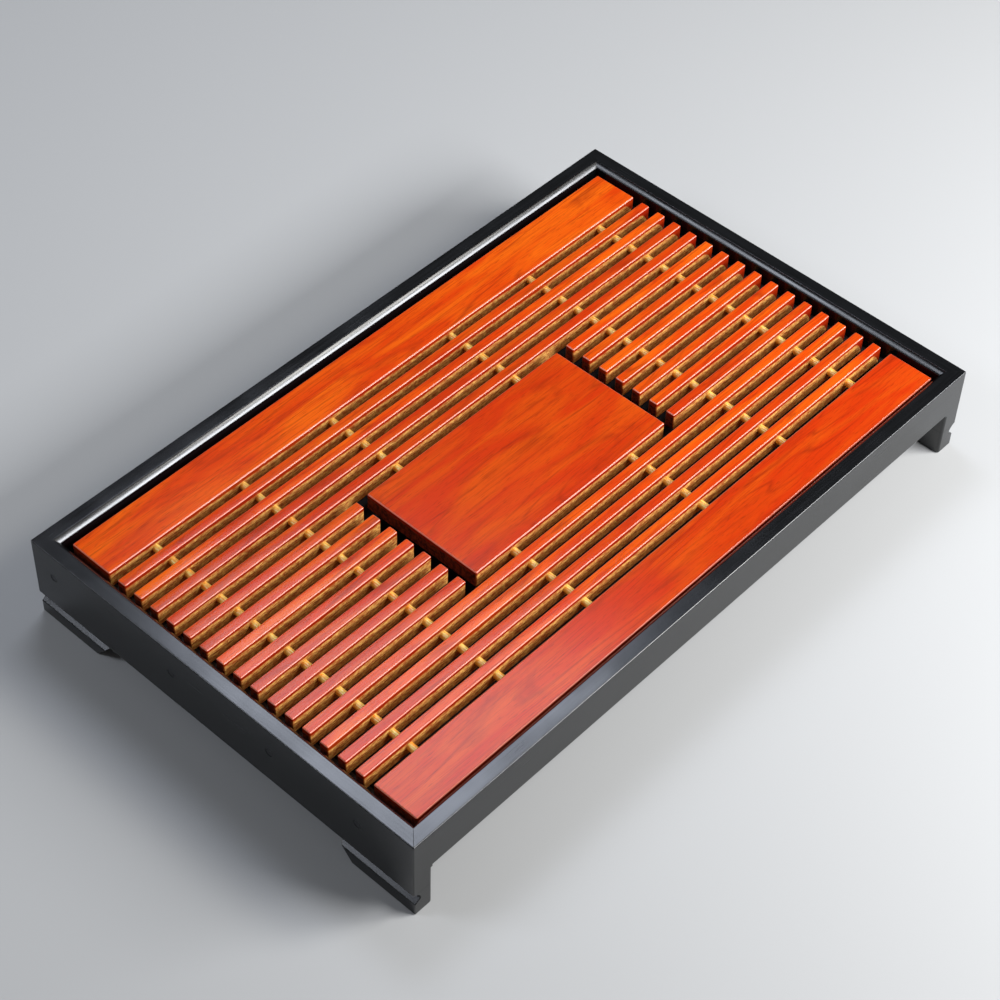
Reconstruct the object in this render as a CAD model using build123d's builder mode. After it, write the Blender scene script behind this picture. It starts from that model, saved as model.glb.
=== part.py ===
# Tea tray: a black four-board frame on moulded feet, with a lift-off slatted wooden grate
# over a shallow lift-out water pan.
# Millimetres. The origin is at the centre of the tray on the table, +Z is up, +X runs along
# the long side, and the near long side faces -Y.

import os

from build123d import *

os.makedirs("parts", exist_ok=True)

# Overall size
tray_length = 480.0
tray_width = 300.0
tray_height = 62.0

# Frame boards
board_thickness = 12.0
rail_height = 30.0
rim_bead = 3.0
rim_quirk = 0.5
rim_round = 0.8
rail_foot_round = 2.0
leg_round = 2.0

# Moulded feet under the ends of the end boards
foot_height = 18.0
foot_proud = 2.0
foot_floor_length = 47.0
foot_slant = 16.0
plinth_height = 9.0
plinth_setback = 1.0
cove_depth = 5.4
cove_height = 11.7
cove_shoulder = 3.8
cove_shoulder_drop = 2.3

# Base board, let into the rails from below
base_thickness = 3.0
base_rebate = 7.0
base_fit = 0.3

# Cleats that carry the ends of the grate
cleat_width = 8.0
cleat_end_gap = 0.5

# Water pan
pan_wall = 1.6
pan_gap = 1.0
pan_headroom = 0.6
pan_lip = 3.0
pan_corner = 9.0
pan_draft_angle = 8.0

# Grate
grate_end_gap = 4.0
grate_front_gap = 1.45
grate_back_gap = 4.45
grate_thickness = 12.0
grate_drop = 3.5
plank_width = 31.5
slat_width = 6.5
slat_count = 15
slats_behind_panel_count = 4
short_slat_count = 7
panel_length = 163.5
panel_end_gap = 8.2
slat_round = 0.6
panel_round = 0.8

# Bamboo dowels through the grate: the insets are from the grate's end, from the inner end of the
# short slats and from the panel's end
dowel_radius = 2.5
dowel_fit = 0.05
dowel_end_gap = 0.5
dowel_in_plank = 16.0
dowel_in_panel = 18.0
outer_dowel_inset = 34.0
middle_dowel_inset = 33.0
inner_dowel_inset = 30.75

# Wood screws, one head and shank size in three lengths
screw_head_radius = 2.8
screw_head_height = 2.0
screw_shank_radius = 1.4
screw_tip = 3.0
screw_fit = 0.05
screw_slot_width = 0.9
screw_slot_reach = 1.8
screw_slot_depth = 1.1
base_screw_length = 13.0
cleat_screw_length = 16.0
foot_screw_bite_share = 0.64
base_screw_inset = 18.0
base_screw_count = 5
cleat_screw_rise_share = 0.7
cleat_screw_shares = (-0.79, -0.31, 0.25, 0.96)
plug_depth = 2.0
foot_screw_spacing = 24.0
foot_recess_radius = 3.6
foot_recess_depth = 5.0

# Places worked out from the sizes above
half_length = tray_length / 2
half_width = tray_width / 2
inner_half_length = half_length - board_thickness
foot_depth = board_thickness + foot_proud
inner_half_width = half_width - board_thickness
rail_bottom = tray_height - rail_height
base_top = rail_bottom + base_thickness
grate_top = tray_height - grate_drop
grate_bottom = grate_top - grate_thickness
cleat_height = grate_bottom - base_top
cleat_screw_height = base_top + cleat_screw_rise_share * cleat_height
cleat_screw_places = [share * inner_half_width for share in cleat_screw_shares]
cleat_face = inner_half_length - cleat_width
grate_length = 2 * (inner_half_length - grate_end_gap)
grate_shift = (grate_front_gap - grate_back_gap) / 2
slat_field = 2 * (inner_half_width - plank_width) - grate_front_gap - grate_back_gap
slot_width = (slat_field - slat_count * slat_width) / (slat_count + 1)
slat_pitch = slat_width + slot_width
first_short_slat = slats_behind_panel_count + 1
last_short_slat = slats_behind_panel_count + short_slat_count
panel_width = short_slat_count * slat_pitch - slot_width
short_slat_start = panel_length / 2 + panel_end_gap
short_slat_length = grate_length / 2 - short_slat_start
dowel_height = grate_bottom + grate_thickness / 2
outer_dowel_place = grate_length / 2 - outer_dowel_inset
middle_dowel_place = short_slat_start + middle_dowel_inset
inner_dowel_place = panel_length / 2 - inner_dowel_inset
long_dowel_places = (
    -outer_dowel_place,
    -middle_dowel_place,
    middle_dowel_place,
    outer_dowel_place,
)
all_dowel_places = (*long_dowel_places, -inner_dowel_place, inner_dowel_place)


def slat_place(number):
    """Y of a slat's middle, counted from the back plank."""
    return grate_shift + slat_field / 2 - slot_width - slat_width / 2 - (number - 1) * slat_pitch


panel_place = (slat_place(first_short_slat) + slat_place(last_short_slat)) / 2


def rim_outline(outer_face, inner_bottom):
    """Top of a frame board, outer arris to inner face: a flat, a small quirk and a quarter round."""
    bead_start = outer_face + board_thickness - rim_bead
    bead_top = tray_height - rim_quirk
    Polyline((outer_face, tray_height), (bead_start, tray_height), (bead_start, bead_top))
    CenterArc((bead_start, bead_top - rim_bead), rim_bead, start_angle=0, arc_size=90)
    Line((bead_start + rim_bead, bead_top - rim_bead), (bead_start + rim_bead, inner_bottom))


def wood_screw(length, fit=0.0):
    """Flat-headed screw pointing up from the middle of its head; with a fit, the hole for it."""
    with BuildPart() as screw:
        with BuildSketch(Plane.XZ):
            Polygon(
                (0, 0),
                (screw_head_radius + fit, 0),
                (screw_shank_radius + fit, screw_head_height + fit),
                (screw_shank_radius + fit, length - screw_tip),
                (0, length + fit),
                align=None,
            )
        revolve(axis=Axis.Z)
        if fit == 0:
            with BuildSketch(Plane.XY):
                Rectangle(2 * screw_slot_reach, screw_slot_width)
                Rectangle(screw_slot_width, 2 * screw_slot_reach)
            extrude(amount=screw_slot_depth, mode=Mode.SUBTRACT)
    return screw.part


# Places of the three sets of screws: each points the way its screw is driven
base_screw_spacing = 2 * (inner_half_length - base_screw_inset) / (base_screw_count - 1)
base_screw_line = inner_half_width + (base_rebate - base_fit) / 2
foot_screw_length = (
    foot_height - foot_recess_depth + foot_screw_bite_share * (rail_bottom - foot_height)
)
base_screw_places = [
    Location((step * base_screw_spacing, side * base_screw_line, rail_bottom))
    for side in (-1, 1)
    for step in [number - (base_screw_count - 1) / 2 for number in range(base_screw_count)]
]
cleat_screw_locations = [
    Location((side * (half_length - plug_depth), place, cleat_screw_height), (0, -side * 90, 0))
    for side in (-1, 1)
    for place in cleat_screw_places
]
foot_screw_x = half_length - (cove_depth + board_thickness) / 2
foot_screw_middle = half_width - foot_floor_length / 2
foot_screw_locations = [
    Location((side * foot_screw_x, end * (foot_screw_middle + step), foot_recess_depth))
    for side in (-1, 1)
    for end in (-1, 1)
    for step in (-foot_screw_spacing / 2, foot_screw_spacing / 2)
]

# Long rails: mitred at both ends, rebated for the base board and rounded below between the legs
with BuildPart() as front_rail:
    with BuildSketch(Plane.YZ.offset(-half_length)) as rail_section:
        with BuildLine():
            rim_outline(-half_width, base_top)
            Polyline(
                (-inner_half_width, base_top),
                (-inner_half_width - base_rebate, base_top),
                (-inner_half_width - base_rebate, rail_bottom),
                (-half_width, rail_bottom),
                (-half_width, tray_height),
            )
        make_face()
        fillet(rail_section.vertices().group_by(Axis.X)[0].sort_by(Axis.Y)[-1], radius=rim_round)
    extrude(amount=tray_length)
    with BuildSketch(Plane.YZ.offset(-inner_half_length)):
        with Locations((-half_width, rail_bottom)):
            Rectangle(rail_foot_round, rail_foot_round, align=(Align.MIN, Align.MIN))
        with Locations((-half_width + rail_foot_round, rail_bottom + rail_foot_round)):
            Circle(rail_foot_round, mode=Mode.SUBTRACT)
    extrude(amount=2 * inner_half_length, mode=Mode.SUBTRACT)
    for side in (-1, 1):
        split(
            bisect_by=Plane(origin=(side * half_length, -half_width, 0), z_dir=(-side, -1, 0)),
            keep=Keep.TOP,
        )
    with Locations(*base_screw_places):
        add(wood_screw(base_screw_length, screw_fit), mode=Mode.SUBTRACT)
front_rail.part.label = "front_rail"
export_step(front_rail.part, "parts/front_rail.step")

with BuildPart() as back_rail:
    add(mirror(front_rail.part, about=Plane.XZ, mode=Mode.PRIVATE))
back_rail.part.label = "back_rail"
export_step(back_rail.part, "parts/back_rail.step")

# End boards: full width below the rails, mitred into them above, grooved for the base board
with BuildPart() as left_end_board:
    with BuildSketch(Plane.XZ.offset(-half_width)) as end_section:
        with BuildLine():
            rim_outline(-half_length, base_top)
            Polyline(
                (-inner_half_length, base_top),
                (-inner_half_length - base_rebate, base_top),
                (-inner_half_length - base_rebate, rail_bottom),
                (-inner_half_length, rail_bottom),
                (-inner_half_length, foot_height),
                (-half_length, foot_height),
                (-half_length, tray_height),
            )
        make_face()
        fillet(end_section.vertices().group_by(Axis.X)[0].sort_by(Axis.Y)[-1], radius=rim_round)
    extrude(amount=tray_width)
    with BuildSketch(Plane.XY.offset(rail_bottom)):
        for side in (-1, 1):
            Polygon(
                (-half_length, side * half_width),
                (-inner_half_length, side * half_width),
                (-inner_half_length, side * inner_half_width),
                align=None,
            )
    extrude(amount=rail_height, mode=Mode.SUBTRACT)
    leg_edges = left_end_board.edges().filter_by(Axis.Z).group_by(Axis.Z)[0]
    fillet(leg_edges.group_by(Axis.X)[-1], radius=leg_round)
    with Locations(*cleat_screw_locations):
        add(wood_screw(cleat_screw_length, screw_fit), mode=Mode.SUBTRACT)
    with BuildSketch(Plane.YZ.offset(-half_length)):
        with Locations(*[(place, cleat_screw_height) for place in cleat_screw_places]):
            Circle(screw_head_radius + screw_fit)
    extrude(amount=plug_depth, mode=Mode.SUBTRACT)
    with Locations(*foot_screw_locations):
        add(wood_screw(foot_screw_length, screw_fit), mode=Mode.SUBTRACT)
left_end_board.part.label = "left_end_board"
export_step(left_end_board.part, "parts/left_end_board.step")

with BuildPart() as right_end_board:
    add(mirror(left_end_board.part, about=Plane.YZ, mode=Mode.PRIVATE))
right_end_board.part.label = "right_end_board"
export_step(right_end_board.part, "parts/right_end_board.step")

# Feet: a cove over a low plinth, cut back at a slant under the end board
with BuildPart() as foot_front_left:
    with BuildSketch(Plane.XZ.offset(half_width)):
        with BuildLine():
            ThreePointArc(
                (-half_length, foot_height),
                (-half_length + cove_shoulder, foot_height - cove_shoulder_drop),
                (-half_length + cove_depth, cove_height),
            )
            Polyline(
                (-half_length + cove_depth, cove_height),
                (-half_length + plinth_setback, plinth_height),
                (-half_length + plinth_setback, 0),
                (-half_length + foot_depth, 0),
                (-half_length + foot_depth, foot_height),
                (-half_length, foot_height),
            )
        make_face()
    extrude(amount=-(foot_floor_length + foot_slant))
    foot_end = -half_width + foot_floor_length
    with BuildSketch(Plane.YZ.offset(-half_length)):
        Polygon(
            (foot_end, 0),
            (foot_end + foot_slant, 0),
            (foot_end + foot_slant, foot_height),
            align=None,
        )
    extrude(amount=foot_depth, mode=Mode.SUBTRACT)
    with Locations(*foot_screw_locations):
        add(wood_screw(foot_screw_length, screw_fit), mode=Mode.SUBTRACT)
    with BuildSketch(Plane.XY):
        with Locations(*[place.position for place in foot_screw_locations]):
            Circle(foot_recess_radius)
    extrude(amount=foot_recess_depth, mode=Mode.SUBTRACT)
foot_front_left.part.label = "foot_front_left"
export_step(foot_front_left.part, "parts/foot_front_left.step")

with BuildPart() as foot_back_left:
    add(mirror(foot_front_left.part, about=Plane.XZ, mode=Mode.PRIVATE))
foot_back_left.part.label = "foot_back_left"
export_step(foot_back_left.part, "parts/foot_back_left.step")

with BuildPart() as foot_front_right:
    add(mirror(foot_front_left.part, about=Plane.YZ, mode=Mode.PRIVATE))
foot_front_right.part.label = "foot_front_right"
export_step(foot_front_right.part, "parts/foot_front_right.step")

with BuildPart() as foot_back_right:
    add(mirror(foot_back_left.part, about=Plane.YZ, mode=Mode.PRIVATE))
foot_back_right.part.label = "foot_back_right"
export_step(foot_back_right.part, "parts/foot_back_right.step")

# Base board: closes the frame from below, flush with the rails
with BuildPart() as base_board:
    with BuildSketch(Plane.XY.offset(rail_bottom)):
        Rectangle(
            2 * (inner_half_length + base_rebate - base_fit),
            2 * (inner_half_width + base_rebate - base_fit),
        )
    extrude(amount=base_thickness)
    with Locations(*base_screw_places):
        add(wood_screw(base_screw_length, screw_fit), mode=Mode.SUBTRACT)
base_board.part.label = "base_board"
export_step(base_board.part, "parts/base_board.step")

# Cleats: strips inside the end boards, under the ends of the slats
with BuildPart() as left_cleat:
    with BuildSketch(Plane.XY.offset(base_top)):
        with Locations((-inner_half_length + cleat_width / 2, 0)):
            Rectangle(cleat_width, 2 * (inner_half_width - cleat_end_gap))
    extrude(amount=cleat_height)
    with Locations(*cleat_screw_locations):
        add(wood_screw(cleat_screw_length, screw_fit), mode=Mode.SUBTRACT)
left_cleat.part.label = "left_cleat"
export_step(left_cleat.part, "parts/left_cleat.step")

with BuildPart() as right_cleat:
    add(mirror(left_cleat.part, about=Plane.YZ, mode=Mode.PRIVATE))
right_cleat.part.label = "right_cleat"
export_step(right_cleat.part, "parts/right_cleat.step")

# Fasteners: each set of like screws is one group of separate solids
with BuildPart() as base_screws:
    with Locations(*base_screw_places):
        add(wood_screw(base_screw_length))
base_screws.part.label = "base_screws"
export_step(base_screws.part, "parts/base_screws.step")

with BuildPart() as cleat_screws:
    with Locations(*cleat_screw_locations):
        add(wood_screw(cleat_screw_length))
cleat_screws.part.label = "cleat_screws"
export_step(cleat_screws.part, "parts/cleat_screws.step")

with BuildPart() as foot_screws:
    with Locations(*foot_screw_locations):
        add(wood_screw(foot_screw_length))
foot_screws.part.label = "foot_screws"
export_step(foot_screws.part, "parts/foot_screws.step")

with BuildPart() as screw_plugs:
    for side in (-1, 1):
        with BuildSketch(Plane.YZ.offset(side * half_length)):
            with Locations(*[(place, cleat_screw_height) for place in cleat_screw_places]):
                Circle(screw_head_radius)
        extrude(amount=-side * plug_depth)
screw_plugs.part.label = "screw_plugs"
export_step(screw_plugs.part, "parts/screw_plugs.step")

# Water pan: a shallow drafted tray with a flat lip, standing loose on the base board
pan_half_length = cleat_face - pan_gap
pan_half_width = inner_half_width - pan_gap
pan_height = cleat_height - pan_headroom
with BuildPart() as water_pan:
    with BuildSketch(Plane.XY.offset(base_top + pan_height)):
        RectangleRounded(2 * (pan_half_length - pan_lip), 2 * (pan_half_width - pan_lip), pan_corner)
    extrude(amount=-pan_height, taper=pan_draft_angle)
    with BuildSketch(Plane.XY.offset(base_top + pan_height)):
        RectangleRounded(2 * pan_half_length, 2 * pan_half_width, pan_corner + pan_lip)
    extrude(amount=-pan_wall)
    with BuildSketch(Plane.XY.offset(base_top + pan_height)):
        RectangleRounded(
            2 * (pan_half_length - pan_lip - pan_wall),
            2 * (pan_half_width - pan_lip - pan_wall),
            pan_corner - pan_wall,
        )
    extrude(amount=pan_wall - pan_height, taper=pan_draft_angle, mode=Mode.SUBTRACT)
water_pan.part.label = "water_pan"
export_step(water_pan.part, "parts/water_pan.step")

# Grate planks: the two wide boards along the long edges, drilled blind for the dowels
plank_places = {
    "back_plank": grate_shift + slat_field / 2 + plank_width / 2,
    "front_plank": grate_shift - slat_field / 2 - plank_width / 2,
}
for name, plank_y in plank_places.items():
    with BuildPart() as plank:
        with BuildSketch(Plane.XY.offset(grate_bottom)):
            with Locations((0, plank_y)):
                Rectangle(grate_length, plank_width)
        extrude(amount=grate_thickness)
        fillet(plank.faces().sort_by(Axis.Z)[-1].edges(), radius=slat_round)
        with BuildSketch(Plane.XZ.offset(-grate_shift)):
            with Locations(*[(place, dowel_height) for place in all_dowel_places]):
                Circle(dowel_radius + dowel_fit)
        extrude(amount=slat_field / 2 + dowel_in_plank, both=True, mode=Mode.SUBTRACT)
    plank.part.label = name
    export_step(plank.part, f"parts/{name}.step")

# Centre panel: the solid rest for the pot, as wide as the slats that it interrupts
with BuildPart() as centre_panel:
    with BuildSketch(Plane.XY.offset(grate_bottom)):
        with Locations((0, panel_place)):
            Rectangle(panel_length, panel_width)
    extrude(amount=grate_thickness)
    fillet(centre_panel.faces().sort_by(Axis.Z)[-1].edges(), radius=panel_round)
    for side in (-1, 1):
        with BuildSketch(Plane.XZ.offset(-panel_place - side * panel_width / 2)):
            with Locations((-inner_dowel_place, dowel_height), (inner_dowel_place, dowel_height)):
                Circle(dowel_radius + dowel_fit)
        extrude(amount=side * dowel_in_panel, mode=Mode.SUBTRACT)
centre_panel.part.label = "centre_panel"
export_step(centre_panel.part, "parts/centre_panel.step")

# Slats: full length at the front and back, in two short pieces beside the panel
slat_pieces = []
for number in range(1, slat_count + 1):
    if first_short_slat <= number <= last_short_slat:
        short_middle = short_slat_start + short_slat_length / 2
        slat_pieces.append((f"slat_{number:02d}_left", number, -short_middle, short_slat_length))
        slat_pieces.append((f"slat_{number:02d}_right", number, short_middle, short_slat_length))
    else:
        slat_pieces.append((f"slat_{number:02d}", number, 0, grate_length))

for name, number, slat_x, slat_length in slat_pieces:
    with BuildPart() as slat:
        with BuildSketch(Plane.XY.offset(grate_bottom)):
            with Locations((slat_x, slat_place(number))):
                Rectangle(slat_length, slat_width)
        extrude(amount=grate_thickness)
        fillet(slat.faces().sort_by(Axis.Z)[-1].edges(), radius=slat_round)
        with BuildSketch(Plane.XZ.offset(-slat_place(number))):
            with Locations(*[(place, dowel_height) for place in all_dowel_places]):
                Circle(dowel_radius + dowel_fit)
        extrude(amount=slat_width, both=True, mode=Mode.SUBTRACT)
    slat.part.label = name
    export_step(slat.part, f"parts/{name}.step")

# Dowels: four run from plank to plank, and four short ones stop inside the centre panel
long_dowel_reach = slat_field / 2 + dowel_in_plank - dowel_end_gap
for number, place in enumerate(long_dowel_places, start=1):
    with BuildPart() as long_dowel:
        with BuildSketch(Plane.XZ.offset(-grate_shift)):
            with Locations((place, dowel_height)):
                Circle(dowel_radius)
        extrude(amount=long_dowel_reach, both=True)
    long_dowel.part.label = f"long_dowel_{number}"
    export_step(long_dowel.part, f"parts/long_dowel_{number}.step")

for row, side in (("back", 1), ("front", -1)):
    inner_end = panel_place + side * (panel_width / 2 - dowel_in_panel + dowel_end_gap)
    outer_end = grate_shift + side * long_dowel_reach
    for end, place in (("left", -inner_dowel_place), ("right", inner_dowel_place)):
        with BuildPart() as short_dowel:
            with BuildSketch(Plane.XZ.offset(-inner_end)):
                with Locations((place, dowel_height)):
                    Circle(dowel_radius)
            extrude(amount=inner_end - outer_end)
        short_dowel.part.label = f"short_dowel_{row}_{end}"
        export_step(short_dowel.part, f"parts/short_dowel_{row}_{end}.step")
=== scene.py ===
import math

import bmesh
import bpy
from mathutils import Matrix, Vector


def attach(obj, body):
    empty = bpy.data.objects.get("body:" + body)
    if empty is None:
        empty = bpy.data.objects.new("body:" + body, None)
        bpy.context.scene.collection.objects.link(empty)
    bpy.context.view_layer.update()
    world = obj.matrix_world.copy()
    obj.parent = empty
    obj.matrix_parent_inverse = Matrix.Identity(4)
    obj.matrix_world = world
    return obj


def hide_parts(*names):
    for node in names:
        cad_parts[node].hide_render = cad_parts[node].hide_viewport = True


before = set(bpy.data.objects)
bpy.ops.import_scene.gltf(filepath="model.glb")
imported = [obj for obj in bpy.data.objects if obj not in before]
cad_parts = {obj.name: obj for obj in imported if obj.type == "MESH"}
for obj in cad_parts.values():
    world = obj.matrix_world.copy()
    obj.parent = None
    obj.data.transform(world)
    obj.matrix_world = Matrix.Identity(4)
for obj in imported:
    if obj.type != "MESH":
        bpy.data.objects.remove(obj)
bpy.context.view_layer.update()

mm = 0.001
overrun = 1         # mm that a cutter runs past the wood it cuts
smoothWithin = 40   # degrees; a sharper edge keeps its crease


# Shared helpers

def linearColour(hexText):
    channels = [int(hexText[i:i + 2], 16) / 255 for i in (1, 3, 5)]
    return [c / 12.92 if c <= 0.04045 else ((c + 0.055) / 1.055) ** 2.4 for c in channels] + [1]


def addNode(tree, kind, inputs=None, **settings):
    # an input is a plain value, a socket, or a node, which stands for its first live output
    node = tree.nodes.new(kind)
    for name, value in settings.items():
        setattr(node, name, value)
    for socket, value in (inputs or {}).items():
        if isinstance(value, bpy.types.Node):
            value = next(output for output in value.outputs if output.enabled)
        if isinstance(value, bpy.types.NodeSocket):
            tree.links.new(value, node.inputs[socket])
        else:
            node.inputs[socket].default_value = value
    return node


def startMaterial(name):
    material = bpy.data.materials.new(name)
    material.use_nodes = True
    tree = material.node_tree
    tree.nodes.clear()
    coords = addNode(tree, "ShaderNodeTexCoord")
    place = addNode(tree, "ShaderNodeVectorMath", {0: coords.outputs["Object"], 1: (1 / mm,) * 3},
                    operation="MULTIPLY")  # from here on every scale is in millimetres
    return material, tree, coords, place


def between(low, high, first=0, last=1):
    # the range that a Map Range node reads and the range that it gives
    return {"From Min": low, "From Max": high, "To Min": first, "To Max": last}


def relief(strength, height):
    # what a Bump node is set to, with the height in millimetres
    return {"Strength": strength, "Distance": height * mm}


def near(a, b, tolerance=0.02):
    return abs(a - b) < tolerance


def choose(kind, test):
    # selects vertices, edges or faces of the edited mesh by their place in millimetres and their direction
    mesh = bmesh.from_edit_mesh(bpy.context.object.data)
    bpy.context.tool_settings.mesh_select_mode = (kind == "verts", kind == "edges", kind == "faces")
    for group in (mesh.faces, mesh.edges, mesh.verts):
        for item in group:
            item.select = False
    for item in list(getattr(mesh, kind)):
        if kind == "verts":
            place, way = item.co, item.normal
        elif kind == "edges":
            ends = [v.co for v in item.verts]
            place, way = (ends[0] + ends[1]) / 2, (ends[1] - ends[0]).normalized()
        else:
            place, way = item.calc_center_median(), item.normal
        if test(place / mm, way):
            item.select_set(True)
    bmesh.update_edit_mesh(bpy.context.object.data)


def leaveEditing():
    if bpy.context.object and bpy.context.object.mode == "EDIT":
        bpy.ops.object.mode_set(mode="OBJECT")
    bpy.ops.object.select_all(action="DESELECT")


def addBlock(name, corner, opposite):
    # a block between two corners in millimetres, left in edit mode with its object at the origin
    leaveEditing()
    middle = [(a + b) / 2 * mm for a, b in zip(corner, opposite)]
    size = [abs(a - b) * mm for a, b in zip(corner, opposite)]
    bpy.ops.mesh.primitive_cube_add(size=1, location=middle, scale=size)
    bpy.ops.object.transform_apply(location=True, rotation=True, scale=True)
    block = bpy.context.object
    block.name = block.data.name = name
    bpy.ops.object.mode_set(mode="EDIT")
    return block


def roundEdges(width, segments, test, profile=0.5):
    choose("edges", test)
    bpy.ops.mesh.bevel(offset=width * mm, segments=segments, profile=profile, affect="EDGES")


def sliceOff(point, normal):
    # cuts the edited mesh flat and drops the side that the normal points to
    bpy.ops.mesh.select_all(action="SELECT")
    bpy.ops.mesh.bisect(plane_co=Vector(point) * mm, plane_no=Vector(normal).normalized(), use_fill=True,
                        clear_outer=True)


def addRod(name, radius, length, place, along, sides):
    leaveEditing()
    turn = {"X": (0, math.radians(90), 0), "Y": (math.radians(90), 0, 0), "Z": (0, 0, 0)}[along]
    bpy.ops.mesh.primitive_cylinder_add(vertices=sides, radius=radius * mm, depth=length * mm,
                                        location=Vector(place) * mm, rotation=turn)
    bpy.ops.object.transform_apply(location=True, rotation=True, scale=True)
    rod = bpy.context.object
    rod.name = rod.data.name = name
    return rod


def copyPiece(source, name):
    leaveEditing()
    source.select_set(True)
    bpy.context.view_layer.objects.active = source
    bpy.ops.object.duplicate()
    piece = bpy.context.object
    piece.name = piece.data.name = name
    return piece


def cutAway(block, cutter):
    # takes the cutter out of the block and deletes it
    leaveEditing()
    block.select_set(True)
    bpy.context.view_layer.objects.active = block
    bpy.ops.object.modifier_add(type="BOOLEAN")
    block.modifiers[-1].operation = "DIFFERENCE"
    block.modifiers[-1].object = cutter
    block.modifiers[-1].solver = "EXACT"
    bpy.ops.object.modifier_apply(modifier=block.modifiers[-1].name)
    bpy.data.objects.remove(cutter)


def finishPiece(piece, material, body, slotName, *nodes):
    leaveEditing()
    piece.select_set(True)
    bpy.context.view_layer.objects.active = piece
    bpy.ops.object.shade_smooth_by_angle(angle=math.radians(smoothWithin))
    bpy.ops.object.modifier_add(type="WEIGHTED_NORMAL")  # keeps the flats flat between the rounded arrises
    piece.modifiers[-1].keep_sharp = True
    bpy.ops.object.modifier_apply(modifier=piece.modifiers[-1].name)
    piece.data.materials.clear()
    piece.data.materials.append(material)
    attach(piece, body)
    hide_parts(*nodes)


# Materials

lacqueredWood = {
    "light": "#EA620B", "deep": "#D84004", "red": "#AC1E08", "figure": "#8C2406", "streak": "#9C2806",
    # the arris line colour is partly a painted highlight, laid pale along the top arrises
    "ring": "#6E1A06", "pore": "#5A1604", "overspray": "#8A1808", "arrisHighlight": "#FFA488",
    "rawLight": "#F8C468", "rawDark": "#A4602C", "mist": "#A83C14",
    "endLight": "#7C2E12", "endDark": "#3C1006",
    # the top of the grate, its middle line, and just inside its outer sides, in mm
    "top": 58.5, "middle": -1.5, "outerSide": 134.9,
    # the sticks are counted from the back, with the planks as rows -1 and 15; beside the panel a row has two
    "firstSlat": 91.95, "pitch": 13.35, "lastRow": 15, "middleRow": 7, "splitRows": 3.5, "sideStep": 40,
    "boardShift": (900, 70, 70),  # mm from one board's figure to another's, at most
    "grain": {  # length and width in mm, detail, roughness, distortion
        "streak": (46, 1.1, 3, 0.55, 0.2),
        "band": (85, 15, 3, 0.5, 0.9),
        "pore": (7, 0.5, 1, 0.5, 0),
        "figure": (75, 15, 3, 0.6, 1.2),
        "ring": (420, 27, 2, 0.4, 0.5),
        "fade": (60, 20, 1, 0.5, 0),
        "fibre": (5, 0.9, 3, 0.7, 0.4),
    },
    "ringCount": 15,  # growth rings across the spread of the figure
    "ringWidth": 0.13, "ringFade": (0.42, 0.62),
    "layers": [  # colour laid on, what steers it, its lower and upper value, and the most it covers
        ("deep", "band", 0.34, 0.62, 1.0),
        ("red", "board", 0.25, 1.0, 0.5),
        ("figure", "figure", 0.56, 0.74, 0.5),
        ("streak", "streak", 0.5, 0.7, 0.45),
        ("ring", "ringLines", 0.0, 1.0, 0.42),
        ("pore", "pore", 0.6, 0.72, 0.35),
    ],
    "sideTurn": (0.55, 0.95), "underTurn": -0.7,  # how far a face looks sideways, and down
    # the lacquer on a side gives out at this depth in mm, less what it wanders and what differs by the stick
    "sprayEdge": (4.2, 5.5), "sprayWander": 3.0, "sprayShare": 1.4, "oversprayCover": 0.8,
    # near the right ends the lacquer colour reaches further down the sides: partly spray, partly painted
    # shade from the end board
    "sprayAndShadeFrom": 214, "sprayAndShadeTo": 223, "sprayAndShadeDepth": 9, "sprayAndShadeCurve": 2.2,  # mm along X, and mm down
    "fibreSpan": (0.42, 0.6),
    "mottlesPerMm": 0.55, "mottleDetail": 3, "mottleSpan": (0.38, 0.62), "mistCover": 0.55,
    # where the painted arris highlight lies, and how much of it is laid on
    "arrisTilt": 0.72, "arrisSpan": 0.2, "arrisDepth": 0.8, "arrisHighlightCover": 0.48,
    "roughness": (0.14, 0.55), "unevenness": 0.06,  # lacquered and bare, and how much it varies
    "poreRelief": 0.5, "relief": (0.2, 0.05), "ior": 1.31,
}


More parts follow.
